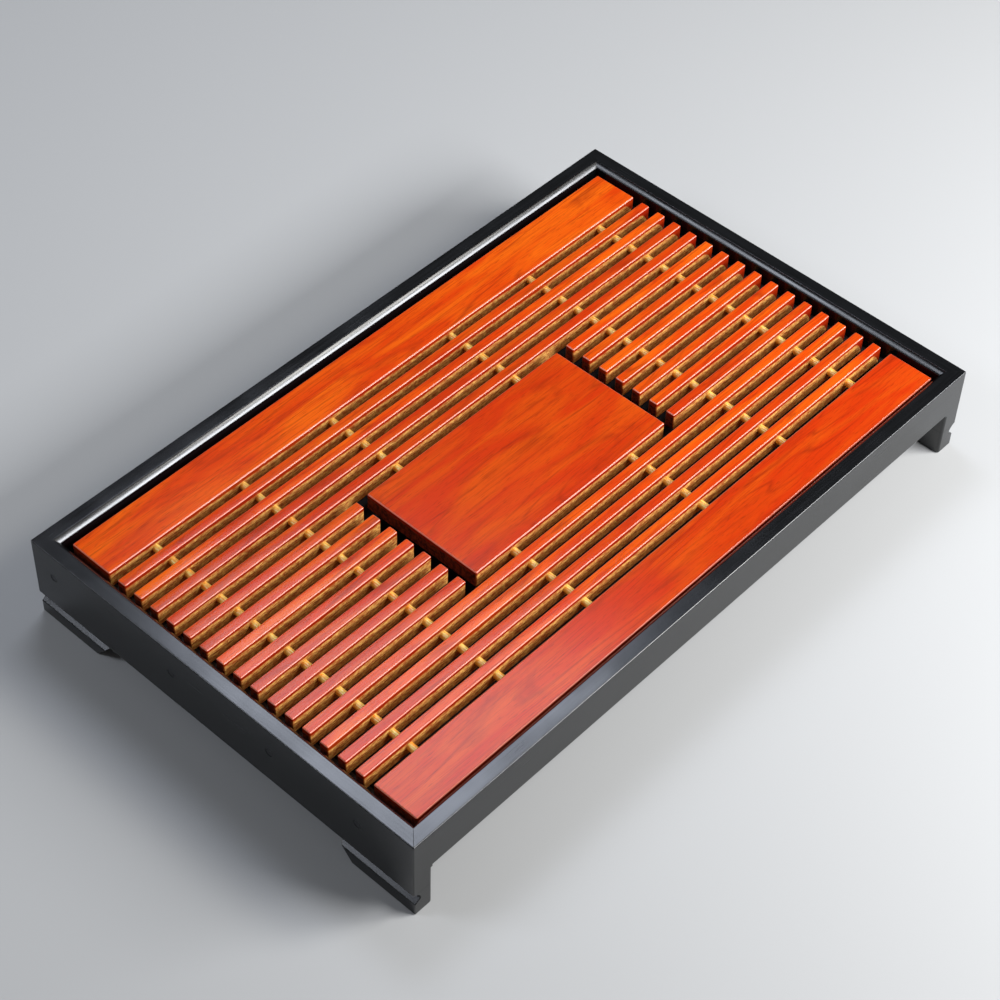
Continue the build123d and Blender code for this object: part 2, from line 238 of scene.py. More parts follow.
def makeLacqueredWood(name, look, seed=None):
    # straight-grained hardwood, sprayed with an orange-red tinted gloss lacquer on top and round the outside
    # of the grate; the sides in its gaps stay bare below the overspray, and the end faces are coloured a dark
    # red-brown; each stick came from another board, so its tone and grain differ from its neighbour's
    material, tree, coords, place = startMaterial(name)
    x, y, z = addNode(tree, "ShaderNodeSeparateXYZ", {0: place}).outputs
    facingX, facingY, facingZ = addNode(tree, "ShaderNodeSeparateXYZ", {0: coords.outputs["Normal"]}).outputs
    stick = seed
    if seed is None:
        # numbers the sticks by their row from the back, and the short ones by their side of the panel too
        fromFirst = addNode(tree, "ShaderNodeMath", {0: look["firstSlat"], 1: y}, operation="SUBTRACT")
        steps = addNode(tree, "ShaderNodeMath", {0: fromFirst, 1: look["pitch"]}, operation="DIVIDE")
        whole = addNode(tree, "ShaderNodeMath", {0: steps}, operation="ROUND")
        above = addNode(tree, "ShaderNodeMath", {0: whole, 1: -1}, operation="MAXIMUM")
        row = addNode(tree, "ShaderNodeMath", {0: above, 1: look["lastRow"]}, operation="MINIMUM")
        off = addNode(tree, "ShaderNodeMath", {0: row, 1: look["middleRow"]}, operation="SUBTRACT")
        far = addNode(tree, "ShaderNodeMath", {0: off}, operation="ABSOLUTE")
        short = addNode(tree, "ShaderNodeMath", {0: far, 1: look["splitRows"]}, operation="LESS_THAN")
        hand = addNode(tree, "ShaderNodeMath", {0: x}, operation="SIGN")
        split = addNode(tree, "ShaderNodeMath", {0: short, 1: hand}, operation="MULTIPLY")
        stick = addNode(tree, "ShaderNodeMath", {0: split, 1: look["sideStep"], 2: row},
                        operation="MULTIPLY_ADD")
    chance = addNode(tree, "ShaderNodeTexWhiteNoise", {"W": stick}, noise_dimensions="1D").outputs["Color"]
    toneChance, sprayChance = addNode(tree, "ShaderNodeSeparateColor", {0: chance}).outputs[:2]
    slide = addNode(tree, "ShaderNodeVectorMath", {0: chance, 1: look["boardShift"]}, operation="MULTIPLY")
    shifted = addNode(tree, "ShaderNodeVectorMath", {0: place, 1: slide}, operation="ADD")
    steers = {"board": toneChance}
    for key, (length, width, detail, roughness, distortion) in look["grain"].items():
        stretched = addNode(tree, "ShaderNodeMapping",
                            {"Vector": shifted, "Scale": (1 / length, 1 / width, 1 / width)})
        steers[key] = addNode(tree, "ShaderNodeTexNoise",
                              {"Vector": stretched, "Scale": 1, "Detail": detail, "Roughness": roughness,
                               "Distortion": distortion})
    rings = addNode(tree, "ShaderNodeMath", {0: steers["ring"], 1: look["ringCount"]}, operation="MULTIPLY")
    toNearest = addNode(tree, "ShaderNodeMath", {0: rings, 1: 0.5}, operation="PINGPONG")  # 0 on a ring
    line = addNode(tree, "ShaderNodeMapRange", {"Value": toNearest, **between(0, look["ringWidth"], 1, 0)})
    fade = addNode(tree, "ShaderNodeMapRange", {"Value": steers["fade"], **between(*look["ringFade"])})
    steers["ringLines"] = addNode(tree, "ShaderNodeMath", {0: line, 1: fade}, operation="MULTIPLY")

    colour = linearColour(look["light"])
    for key, steer, low, high, most in look["layers"]:
        share = addNode(tree, "ShaderNodeMapRange", {"Value": steers[steer], **between(low, high, 0, most)})
        colour = addNode(tree, "ShaderNodeMix", {0: share, 6: colour, 7: linearColour(look[key])},
                         data_type="RGBA")

    sideways = addNode(tree, "ShaderNodeMath", {0: facingY}, operation="ABSOLUTE")
    side = addNode(tree, "ShaderNodeMapRange", {"Value": sideways, **between(*look["sideTurn"])})
    endways = addNode(tree, "ShaderNodeMath", {0: facingX}, operation="ABSOLUTE")
    end = addNode(tree, "ShaderNodeMapRange", {"Value": endways, **between(*look["sideTurn"])})
    edge = addNode(tree, "ShaderNodeMath", {0: side, 1: end}, operation="MAXIMUM")
    under = addNode(tree, "ShaderNodeMath", {0: facingZ, 1: look["underTurn"]}, operation="LESS_THAN")
    depth = addNode(tree, "ShaderNodeMath", {0: look["top"], 1: z}, operation="SUBTRACT")
    ragged = addNode(tree, "ShaderNodeMath", {0: steers["figure"], 1: look["sprayWander"], 2: depth},
                     operation="MULTIPLY_ADD")
    sprayed = addNode(tree, "ShaderNodeMath", {0: sprayChance, 1: look["sprayShare"], 2: ragged},
                      operation="MULTIPLY_ADD")
    # at the right ends the lacquer colour is painted further down the side: partly the spray wrapping round
    # the corner, partly painted shade where the end board shades the side
    pastBend = addNode(tree, "ShaderNodeMapRange", {"Value": x, **between(look["sprayAndShadeFrom"], look["sprayAndShadeTo"])})
    bend = addNode(tree, "ShaderNodeMath", {0: pastBend, 1: look["sprayAndShadeCurve"]}, operation="POWER")
    sprayedAndShaded = addNode(tree, "ShaderNodeMath", {0: bend, 1: -look["sprayAndShadeDepth"], 2: sprayed},
                      operation="MULTIPLY_ADD")
    below = addNode(tree, "ShaderNodeMapRange", {"Value": sprayedAndShaded, **between(*look["sprayEdge"])},
                    interpolation_type="SMOOTHSTEP")
    across = addNode(tree, "ShaderNodeMath", {0: y, 1: look["middle"]}, operation="SUBTRACT")
    outward = addNode(tree, "ShaderNodeMath", {0: across}, operation="ABSOLUTE")
    within = addNode(tree, "ShaderNodeMath", {0: outward, 1: look["outerSide"]}, operation="LESS_THAN")
    inGap = addNode(tree, "ShaderNodeMath", {0: within, 1: edge}, operation="MULTIPLY")
    bareEdge = addNode(tree, "ShaderNodeMath", {0: below, 1: inGap}, operation="MULTIPLY")
    bare = addNode(tree, "ShaderNodeMath", {0: bareEdge, 1: under}, operation="MAXIMUM")
    cover = addNode(tree, "ShaderNodeMath", {0: edge, 1: look["oversprayCover"]}, operation="MULTIPLY")
    colour = addNode(tree, "ShaderNodeMix", {0: cover, 6: colour, 7: linearColour(look["overspray"])},
                     data_type="RGBA")

    fibres = addNode(tree, "ShaderNodeMapRange", {"Value": steers["fibre"], **between(*look["fibreSpan"])})
    raw = addNode(tree, "ShaderNodeMix",
                  {0: fibres, 6: linearColour(look["rawLight"]), 7: linearColour(look["rawDark"])},
                  data_type="RGBA")
    mottled = addNode(tree, "ShaderNodeTexNoise",
                      {"Vector": shifted, "Scale": look["mottlesPerMm"], "Detail": look["mottleDetail"]})
    mottle = addNode(tree, "ShaderNodeMapRange", {"Value": mottled, **between(*look["mottleSpan"])})
    misted = addNode(tree, "ShaderNodeMath", {0: mottle, 1: look["mistCover"]}, operation="MULTIPLY")
    raw = addNode(tree, "ShaderNodeMix", {0: misted, 6: raw, 7: linearColour(look["mist"])}, data_type="RGBA")
    endGrain = addNode(tree, "ShaderNodeMix",
                       {0: mottle, 6: linearColour(look["endLight"]), 7: linearColour(look["endDark"])},
                       data_type="RGBA")
    bareWood = addNode(tree, "ShaderNodeMix", {0: end, 6: raw, 7: endGrain}, data_type="RGBA")
    colour = addNode(tree, "ShaderNodeMix", {0: bare, 6: colour, 7: bareWood}, data_type="RGBA")

    # a paler line is painted along the top arrises: partly the lacquer pulling thin off them, partly a
    # painted highlight
    tilt = addNode(tree, "ShaderNodeMath", {0: facingZ, 1: look["arrisTilt"], 2: look["arrisSpan"]},
                   operation="COMPARE")
    onTop = addNode(tree, "ShaderNodeMath", {0: depth, 1: look["arrisDepth"]}, operation="LESS_THAN")
    arris = addNode(tree, "ShaderNodeMath", {0: tilt, 1: onTop}, operation="MULTIPLY")
    arrisHighlightShare = addNode(tree, "ShaderNodeMath", {0: arris, 1: look["arrisHighlightCover"]}, operation="MULTIPLY")
    colour = addNode(tree, "ShaderNodeMix", {0: arrisHighlightShare, 6: colour, 7: linearColour(look["arrisHighlight"])},
                     data_type="RGBA")
    gloss = addNode(tree, "ShaderNodeMapRange", {"Value": bare, **between(0, 1, *look["roughness"])})
    uneven = addNode(tree, "ShaderNodeMath", {0: steers["band"], 1: look["unevenness"], 2: gloss},
                     operation="MULTIPLY_ADD")
    raised = addNode(tree, "ShaderNodeMath", {0: steers["pore"], 1: look["poreRelief"], 2: steers["streak"]},
                     operation="MULTIPLY_ADD")
    grainBump = addNode(tree, "ShaderNodeBump", {**relief(*look["relief"]), "Height": raised})
    shader = addNode(tree, "ShaderNodeBsdfPrincipled",
                     {"Base Color": colour, "Roughness": uneven, "IOR": look["ior"], "Normal": grainBump})
    addNode(tree, "ShaderNodeOutputMaterial", {0: shader})
    return material


blackLacquer = {
    "dark": "#060708", "pale": "#0F1012", "dust": "#26282B",
    "grain": (60, 0.9), "grainDetail": 3, "grainSpan": (0.4, 0.7),  # length and width in mm
    "orangePeel": 3.5,  # mm from one hill of it to the next
    "cloudsPerMm": 0.03, "cloudDetail": 2, "cloudSpan": (0.3, 0.7),
    "specksPerMm": 1.1, "speckSpan": (0.74, 0.8), "dustCover": 0.35,
    "roughness": (0.16, 0.25), "grainRoughness": (-0.05, 0.07),
    "peelRelief": (0.3, 0.02), "grainRelief": (0.3, 0.008), "ior": 1.58,
}


def makeBlackLacquer(name, look, along):
    # close-grained hardwood under a sprayed satin black lacquer: the grain tells through it as fine lines,
    # the spray leaves a slight orange peel, and a few specks of dust have settled in it
    material, tree, _, place = startMaterial(name)
    length, width = look["grain"]
    scale = [1 / width] * 3
    scale["XYZ".index(along)] = 1 / length
    stretched = addNode(tree, "ShaderNodeMapping", {"Vector": place, "Scale": scale})
    grain = addNode(tree, "ShaderNodeTexNoise",
                    {"Vector": stretched, "Scale": 1, "Detail": look["grainDetail"]})
    cloud = addNode(tree, "ShaderNodeTexNoise",
                    {"Vector": place, "Scale": look["cloudsPerMm"], "Detail": look["cloudDetail"]})
    peel = addNode(tree, "ShaderNodeTexNoise",
                   {"Vector": place, "Scale": 1 / look["orangePeel"], "Detail": 1})
    speck = addNode(tree, "ShaderNodeTexNoise", {"Vector": place, "Scale": look["specksPerMm"], "Detail": 0})
    tone = addNode(tree, "ShaderNodeMapRange", {"Value": grain, **between(*look["grainSpan"])})
    colour = addNode(tree, "ShaderNodeMix",
                     {0: tone, 6: linearColour(look["dark"]), 7: linearColour(look["pale"])},
                     data_type="RGBA")
    fallen = addNode(tree, "ShaderNodeMapRange",
                     {"Value": speck, **between(*look["speckSpan"], 0, look["dustCover"])})
    dusted = addNode(tree, "ShaderNodeMix", {0: fallen, 6: colour, 7: linearColour(look["dust"])},
                     data_type="RGBA")
    clouded = addNode(tree, "ShaderNodeMapRange",
                      {"Value": cloud, **between(*look["cloudSpan"], *look["roughness"])})
    telling = addNode(tree, "ShaderNodeMapRange", {"Value": grain, **between(0, 1, *look["grainRoughness"])})
    roughness = addNode(tree, "ShaderNodeMath", {0: clouded, 1: telling}, operation="ADD")
    peelBump = addNode(tree, "ShaderNodeBump", {**relief(*look["peelRelief"]), "Height": peel})
    grainBump = addNode(tree, "ShaderNodeBump",
                        {**relief(*look["grainRelief"]), "Height": grain, "Normal": peelBump})
    shader = addNode(tree, "ShaderNodeBsdfPrincipled",
                     {"Base Color": dusted, "Roughness": roughness, "IOR": look["ior"], "Normal": grainBump})
    addNode(tree, "ShaderNodeOutputMaterial", {0: shader})
    return material


bareBamboo = {
    "light": "#FFE176", "dark": "#FF9A24", "roughness": 0.24, "relief": (0.3, 0.05),
    "fibre": (22, 0.8), "fibreDetail": 2, "fibreSpan": (0.35, 0.7),  # length and width in mm
}


def makeBareBamboo(name, look):
    # planed bamboo rod: pale yellow, with fine darker fibres along it, and left bare
    material, tree, _, place = startMaterial(name)
    length, width = look["fibre"]
    stretched = addNode(tree, "ShaderNodeMapping",
                        {"Vector": place, "Scale": (1 / width, 1 / length, 1 / width)})
    fibre = addNode(tree, "ShaderNodeTexNoise",
                    {"Vector": stretched, "Scale": 1, "Detail": look["fibreDetail"]})
    tone = addNode(tree, "ShaderNodeMapRange", {"Value": fibre, **between(*look["fibreSpan"])})
    colour = addNode(tree, "ShaderNodeMix",
                     {0: tone, 6: linearColour(look["light"]), 7: linearColour(look["dark"])},
                     data_type="RGBA")
    bump = addNode(tree, "ShaderNodeBump", {**relief(*look["relief"]), "Height": fibre})
    shader = addNode(tree, "ShaderNodeBsdfPrincipled",
                     {"Base Color": colour, "Roughness": look["roughness"], "Normal": bump})
    addNode(tree, "ShaderNodeOutputMaterial", {0: shader})
    return material


plainLooks = {  # the pattern's size in mm along X, Y and Z; gloss is the specular level
    "moulded ABS": {  # the fine matt of a moulded black tray
        "dark": "#030303", "pale": "#070707", "pattern": (0.8, 0.8, 0.8), "roughness": (0.5, 0.62),
        "metallic": 0, "relief": (0.4, 0.03), "gloss": 0.2},
    "stained plywood": {  # open veneer under black stain
        "dark": "#0B0908", "pale": "#1C1815", "pattern": (60, 1.4, 1.4), "roughness": (0.55, 0.7),
        "metallic": 0, "relief": (0.4, 0.08), "gloss": 0.4},
    "stained softwood": {  # rough-sawn strip under black stain
        "dark": "#0F0C0A", "pale": "#241D17", "pattern": (1.2, 50, 1.2), "roughness": (0.55, 0.7),
        "metallic": 0, "relief": (0.4, 0.08), "gloss": 0.4},
    "zinc-plated steel": {  # cool grey, a little dulled
        "dark": "#9A9CA0", "pale": "#C4C6C8", "pattern": (1.5, 1.5, 1.5), "roughness": (0.28, 0.42),
        "metallic": 1, "relief": (0.4, 0.01), "gloss": 0.5},
    "wax filler": {  # rubbed level, duller than the lacquer
        "dark": "#0B0C0E", "pale": "#16181B", "pattern": (1.2, 1.2, 1.2), "roughness": (0.3, 0.42),
        "metallic": 0, "relief": (0.4, 0.02), "gloss": 0.5},
}
plainPattern = {"detail": 3, "toneSpan": (0.35, 0.65), "roughnessSpan": (0.3, 0.7)}


def makePlain(name, look, shared):
    material, tree, _, place = startMaterial(name)
    stretched = addNode(tree, "ShaderNodeMapping",
                        {"Vector": place, "Scale": [1 / size for size in look["pattern"]]})
    pattern = addNode(tree, "ShaderNodeTexNoise",
                      {"Vector": stretched, "Scale": 1, "Detail": shared["detail"]})
    tone = addNode(tree, "ShaderNodeMapRange", {"Value": pattern, **between(*shared["toneSpan"])})
    colour = addNode(tree, "ShaderNodeMix",
                     {0: tone, 6: linearColour(look["dark"]), 7: linearColour(look["pale"])},
                     data_type="RGBA")
    roughness = addNode(tree, "ShaderNodeMapRange",
                        {"Value": pattern, **between(*shared["roughnessSpan"], *look["roughness"])})
    bump = addNode(tree, "ShaderNodeBump", {**relief(*look["relief"]), "Height": pattern})
    shader = addNode(tree, "ShaderNodeBsdfPrincipled",
                     {"Base Color": colour, "Roughness": roughness, "Metallic": look["metallic"],
                      "Specular IOR Level": look["gloss"], "Normal": bump})
    addNode(tree, "ShaderNodeOutputMaterial", {0: shader})
    return material


stickWood = makeLacqueredWood("lacquered hardwood sticks", lacqueredWood)
panelWood = makeLacqueredWood("lacquered hardwood panel", lacqueredWood, seed=7.3)
railLacquer = makeBlackLacquer("satin black lacquer along rails", blackLacquer, "X")
endLacquer = makeBlackLacquer("satin black lacquer along ends", blackLacquer, "Y")
bamboo = makeBareBamboo("bare bamboo", bareBamboo)
plain = {name: makePlain(name, look, plainPattern) for name, look in plainLooks.items()}
print("materials made")

keptNodes = {  # CAD nodes whose own shape is right; all others are modelled anew below
    "base_board": "stained plywood", "left_cleat": "stained softwood", "right_cleat": "stained softwood",
    "base_screws": "zinc-plated steel", "cleat_screws": "zinc-plated steel",
    "foot_screws": "zinc-plated steel",
}
for name, look in keptNodes.items():
    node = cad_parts[name]
    node.data.materials.clear()
    node.data.materials.append(plain[look])
print("kept CAD nodes painted")


# Frame

frameCut = {
    "halfLength": 240, "halfWidth": 150, "board": 12, "top": 62, "railBottom": 32, "boardBottom": 18,
    "bead": 3, "beadProfile": 0.3, "quirk": 0.5, "arris": 0.8, "quirkArris": 0.25, "legArris": 2,
    "railFootRound": 2, "railFootSides": 48, "groove": 7, "grooveTop": 35, "seam": 0.3, "legProud": 2,
    "mitreEase": 0.12, "plugs": (-109.0, -42.8, 34.5, 132.5), "plugHeight": 43.05, "plugRadius": 2.8,
    "plugSides": 32, "plugDepth": 2, "plugSunk": 0.12, "plugRim": 0.35, "plugDish": 0.1,
}


def addMouldedBoard(name, outerCorner, innerCorner, axis, cut):
    # a board with a quirk and a quarter-round bead worked along its top arris, on the side of the grate
    far, shoulder = 1 - axis, cut["top"] - cut["quirk"]
    outer, inner, end = outerCorner[axis], innerCorner[axis], abs(outerCorner[far])
    board = addBlock(name, outerCorner, (innerCorner[0], innerCorner[1], shoulder))
    roundEdges(cut["bead"], 8,
               lambda p, d: near(p[axis], inner) and near(p.z, shoulder) and near(abs(d[far]), 1),
               profile=cut["beadProfile"])
    choose("faces", lambda p, n: near(n.z, 1, 0.001))
    bpy.ops.mesh.extrude_region_move(TRANSFORM_OT_translate={"value": (0, 0, cut["quirk"] * mm)})
    choose("edges", lambda p, d: near(p.z, shoulder) and (near(p[axis], outer) or near(abs(p[far]), end)))
    bpy.ops.mesh.dissolve_edges(use_verts=True)
    roundEdges(cut["arris"], 3,
               lambda p, d: near(p.z, cut["top"]) and (near(p[axis], outer) or near(abs(d[axis]), 1))
               or near(p[axis], outer) and near(abs(d.z), 1))
    bead = inner + math.copysign(cut["bead"], outer)
    roundEdges(cut["quirkArris"], 2,
               lambda p, d: near(p[axis], bead) and near(p.z, cut["top"]) and near(abs(d[far]), 1))
    return board


def easeMitres(cut):
    # the joint shows as a hairline, because the lacquer shrinks into it
    slant = math.sqrt(0.5)
    roundEdges(cut["mitreEase"], 1,
               lambda p, d: near(p.z, cut["top"]) and near(abs(d.x), slant) and near(abs(d.y), slant))


def makeRail(name, end, cut):
    halfX, halfY, inner = cut["halfLength"], cut["halfWidth"], cut["halfWidth"] - cut["board"]
    rail = addMouldedBoard(name, (-halfX, end * halfY, cut["railBottom"]), (halfX, end * inner), 1, cut)
    for side in (-1, 1):
        sliceOff((side * halfX, end * halfY, 0), (side, -end, 0))  # mitre
    easeMitres(cut)
    rebate = addBlock("rebateCutter",
                      (-halfX - overrun, end * (inner - overrun), cut["railBottom"] - overrun),
                      (halfX + overrun, end * (inner + cut["groove"]), cut["grooveTop"]))
    cutAway(rail, rebate)
    leg, radius = halfX - cut["board"] - cut["legProud"], cut["railFootRound"]
    centre = (end * (halfY - radius), cut["railBottom"] + radius)
    waste = addBlock("footRoundWaste", (-leg, *centre),
                     (leg, end * (halfY + overrun), cut["railBottom"] - overrun))
    cutAway(waste, addRod("footRoundBar", radius, 2 * (leg + 2 * overrun), (0, *centre), "X",
                          cut["railFootSides"]))
    cutAway(rail, waste)
    finishPiece(rail, railLacquer, "frame", "frame_lacquer", name)


def makeEndBoard(name, side, cut):
    halfX, halfY, inner = cut["halfLength"], cut["halfWidth"], cut["halfLength"] - cut["board"]
    endBoard = addMouldedBoard(name, (side * halfX, -halfY, cut["boardBottom"]), (side * inner, halfY), 0,
                               cut)
    roundEdges(cut["seam"], 2, lambda p, d: near(p.z, cut["boardBottom"]) and near(p.x, side * halfX))
    for end in (-1, 1):
        waste = addBlock("mitreWaste",
                         (side * (halfX + overrun), end * (halfY + overrun), cut["railBottom"]),
                         (side * (inner - overrun), end * (halfY - cut["board"] - overrun),
                          cut["top"] + overrun))
        sliceOff((side * halfX, end * halfY, 0), (side, -end, 0))
        cutAway(endBoard, waste)
    grooveEnd = halfY - cut["board"] + cut["groove"]
    cutAway(endBoard, addBlock("grooveWaste", (side * (inner - overrun), -grooveEnd, cut["railBottom"]),
                               (side * (inner + cut["groove"]), grooveEnd, cut["grooveTop"])))
    for place in cut["plugs"]:
        cutAway(endBoard, addRod("plugHole", cut["plugRadius"], 2 * cut["plugDepth"],
                                 (side * halfX, place, cut["plugHeight"]), "X", cut["plugSides"]))
    bpy.ops.object.mode_set(mode="EDIT")
    easeMitres(cut)
    leg = inner - cut["legProud"]
    choose("faces", lambda p, n: near(p.x, side * inner) and p.z < cut["railBottom"])
    bpy.ops.mesh.extrude_region_move(TRANSFORM_OT_translate={"value": (side * (leg - inner) * mm, 0, 0)})
    roundEdges(cut["legArris"], 5,
               lambda p, d: near(p.x, side * leg) and near(abs(p.y), halfY) and near(abs(d.z), 1))
    finishPiece(endBoard, endLacquer, "frame", "frame_lacquer", name)


for name, end in (("front_rail", -1), ("back_rail", 1)):
    makeRail(name, end, frameCut)
for name, side in (("left_end_board", -1), ("right_end_board", 1)):
    makeEndBoard(name, side, frameCut)


def makePlugs(name, cut):
    # stopping pressed into each screw hole, shrunk a little below the face as it dried
    plugs = []
    for side in (-1, 1):
        for place in cut["plugs"]:
            middle = side * (cut["halfLength"] - cut["plugDepth"] / 2 - cut["plugSunk"] / 2)
            plugs.append(addRod(name, cut["plugRadius"], cut["plugDepth"] - cut["plugSunk"],
                                (middle, place, cut["plugHeight"]), "X", cut["plugSides"]))
            bpy.ops.object.mode_set(mode="EDIT")
            choose("faces", lambda p, n: near(n.x, side, 0.001))
            bpy.ops.mesh.inset(thickness=cut["plugRim"] * mm)
            bpy.ops.transform.translate(value=(-side * cut["plugDish"] * mm, 0, 0))
    leaveEditing()
    for plug in plugs:
        plug.select_set(True)
    bpy.ops.object.join()
    finishPiece(bpy.context.object, plain["wax filler"], "frame", "plug_filler", name)


makePlugs("screw_plugs", frameCut)
print("rails, end boards and plugs modelled")


footCut = {
    # the outer face from the floor up, as height and distance from the middle of the tray
    "profile": [(0, 239), (9, 239), (11.7, 234.6), (12.3, 234.62), (13.4, 234.95), (14.5, 235.45),
                (15.7, 236.2), (16.6, 237.1), (17.4, 238.3), (18, 240)],
    "inner": 226, "halfWidth": 150, "floorEnd": 103, "topEnd": 87, "top": 18, "arris": 0.4, "innerArris": 2,
    "flatWithin": 1, "sharpFrom": 28,  # degrees
    "recess": (3.6, 5), "recessSides": 32, "recessX": 231.3, "recessY": (114.5, 138.5),
}


def makeFoot(name, cut):
    # front right foot: a block sawn into layers, each drawn in to the moulding's line
    widest = cut["profile"][-1][1]
    foot = addBlock(name, (cut["inner"], -cut["halfWidth"], 0), (widest, -cut["topEnd"], cut["top"]))
    for height, _ in cut["profile"][1:-1]:
        bpy.ops.mesh.select_all(action="SELECT")
        bpy.ops.mesh.bisect(plane_co=(0, 0, height * mm), plane_no=(0, 0, 1))
    for height, reach in cut["profile"]:
        choose("verts", lambda p, n: near(p.z, height) and near(p.x, widest))
        bpy.ops.transform.translate(value=((reach - widest) * mm, 0, 0))
    roundEdges(cut["innerArris"], 5,
               lambda p, d: near(p.x, cut["inner"]) and near(p.y, -cut["halfWidth"]) and near(abs(d.z), 1))
    sliceOff((0, -cut["topEnd"], cut["top"]), (0, cut["top"], cut["topEnd"] - cut["floorEnd"]))
    bpy.ops.mesh.select_all(action="SELECT")
    bpy.ops.mesh.dissolve_limited(angle_limit=math.radians(cut["flatWithin"]))
    bpy.ops.mesh.select_all(action="DESELECT")
    bpy.context.tool_settings.mesh_select_mode = (False, True, False)
    bpy.ops.mesh.edges_select_sharp(sharpness=math.radians(cut["sharpFrom"]))
    bpy.ops.mesh.bevel(offset=cut["arris"] * mm, segments=2, profile=0.5, affect="EDGES")
    radius, depth = cut["recess"]
    for place in cut["recessY"]:
        drill = addRod("recessCutter", radius, 2 * depth, (cut["recessX"], -place, 0), "Z",
                       cut["recessSides"])
        cutAway(foot, drill)
    return foot


def mirrorPiece(source, name, across):
    piece = copyPiece(source, name)
    piece.scale = [-1 if axis in across else 1 for axis in "XYZ"]
    bpy.ops.object.transform_apply(location=True, rotation=True, scale=True)
    bpy.ops.object.mode_set(mode="EDIT")
    bpy.ops.mesh.select_all(action="SELECT")
    bpy.ops.mesh.normals_make_consistent(inside=False)
    bpy.ops.object.mode_set(mode="OBJECT")
    return piece


firstFoot = makeFoot("foot_front_right", footCut)
for name, across in (("foot_front_left", "X"), ("foot_back_right", "Y"), ("foot_back_left", "XY")):
    finishPiece(mirrorPiece(firstFoot, name, across), endLacquer, "frame", "frame_lacquer", name)
finishPiece(firstFoot, endLacquer, "frame", "frame_lacquer", "foot_front_right")
print("feet modelled")


# Grate

grateCut = {
    "halfLength": 224, "bottom": 46.5, "top": 58.5,
    "arris": 0.75, "boardArris": 0.9, "arrisProfile": 0.3, "lowerArris": 0.3,
    "backPlank": (102.05, 133.55), "frontPlank": (-136.55, -105.05),
    "panel": (-44.8, 41.8), "halfPanel": 81.75,
    "firstSlat": 91.95, "pitch": 13.35, "slatWidth": 6.5, "slats": 15,
    "shortSlats": range(5, 12), "shortFrom": 89.95,
}


def makeStick(name, x, y, cut, arris):
    # planed square, then every arris eased: the lacquered top ones most
    stick = addBlock(name, (x[0], y[0], cut["bottom"]), (x[1], y[1], cut["top"]))
    roundEdges(arris, 4, lambda p, d: near(p.z, cut["top"]) or near(abs(d.z), 1), profile=cut["arrisProfile"])
    roundEdges(cut["lowerArris"], 2, lambda p, d: near(p.z, cut["bottom"]))
    bpy.ops.object.mode_set(mode="OBJECT")
    return stick


halfLength, halfPanel = grateCut["halfLength"], grateCut["halfPanel"]
boards = {
    "back_plank": (halfLength, grateCut["backPlank"], stickWood),
    "front_plank": (halfLength, grateCut["frontPlank"], stickWood),
    "centre_panel": (halfPanel, grateCut["panel"], panelWood),
}
for name, (reach, sides, wood) in boards.items():
    board = makeStick(name, (-reach, reach), sides, grateCut, grateCut["boardArris"])
    finishPiece(board, wood, "grate", "grate_wood", name)

slatSides = (-grateCut["slatWidth"] / 2, grateCut["slatWidth"] / 2)
shortFrom, slatArris = grateCut["shortFrom"], grateCut["arris"]
longSlat = makeStick("longSlat", (-halfLength, halfLength), slatSides, grateCut, slatArris)
leftSlat = makeStick("leftSlat", (-halfLength, -shortFrom), slatSides, grateCut, slatArris)
rightSlat = makeStick("rightSlat", (shortFrom, halfLength), slatSides, grateCut, slatArris)
for number in range(1, grateCut["slats"] + 1):
    place = grateCut["firstSlat"] - (number - 1) * grateCut["pitch"]
    short = number in grateCut["shortSlats"]
    sources = {"_left": leftSlat, "_right": rightSlat} if short else {"": longSlat}
    for ending, source in sources.items():
        name = "slat_%02d%s" % (number, ending)
        slat = copyPiece(source, name)
        slat.location.y = place * mm
        bpy.ops.object.transform_apply(location=True, rotation=True, scale=True)
        finishPiece(slat, stickWood, "grate", "grate_wood", name)
for source in (longSlat, leftSlat, rightSlat):
    bpy.data.objects.remove(source)
print("planks, panel and slats modelled")

dowelCut = {
    "radius": 2.5, "sides": 40, "height": 52.5, "chamfer": 0.5, "middle": -1.5, "reach": 119.05,
    "panelEnd": 25.8,  # how far from the middle line a short dowel ends inside the panel
    "long": (-190, -122.95, 122.95, 190), "short": 51,
}


def makeDowel(name, x, y, cut):
    dowel = addRod(name, cut["radius"], y[1] - y[0], (x, (y[0] + y[1]) / 2, cut["height"]), "Y", cut["sides"])
    bpy.ops.object.mode_set(mode="EDIT")
    roundEdges(cut["chamfer"], 2, lambda p, d: near(p.y, y[0]) or near(p.y, y[1]))
    finishPiece(dowel, bamboo, "grate", "dowel_bamboo", name)


middle, reach, panelEnd = dowelCut["middle"], dowelCut["reach"], dowelCut["panelEnd"]
for number, place in enumerate(dowelCut["long"], 1):
    makeDowel("long_dowel_%d" % number, place, (middle - reach, middle + reach), dowelCut)
for hand, side in (("left", -1), ("right", 1)):
    place = side * dowelCut["short"]
    makeDowel("short_dowel_back_" + hand, place, (middle + panelEnd, middle + reach), dowelCut)
    makeDowel("short_dowel_front_" + hand, place, (middle - reach, middle - panelEnd), dowelCut)
print("dowels modelled")


# Water pan

panCut = {
    "halfLength": 219, "halfWidth": 137, "bottom": 35, "top": 45.9, "corner": 12, "lip": 3, "wall": 1.6,
    "draft": 8,  # degrees
    "lipRound": 0.5, "floorRound": 2.2,
}


def drawIn(depth, cut):
    # sinks the selected face by a depth and draws it in by the mould's draft
    bpy.ops.mesh.extrude_region_move(TRANSFORM_OT_translate={"value": (0, 0, -depth * mm)})
    chosen = [v.co for v in bmesh.from_edit_mesh(bpy.context.object.data).verts if v.select]
    half = [max(abs(v[axis]) for v in chosen) / mm for axis in (0, 1)]
    slope = depth * math.tan(math.radians(cut["draft"]))
    bpy.ops.transform.resize(value=[1 - slope / h for h in half] + [1], center_override=(0, 0, chosen[0].z))


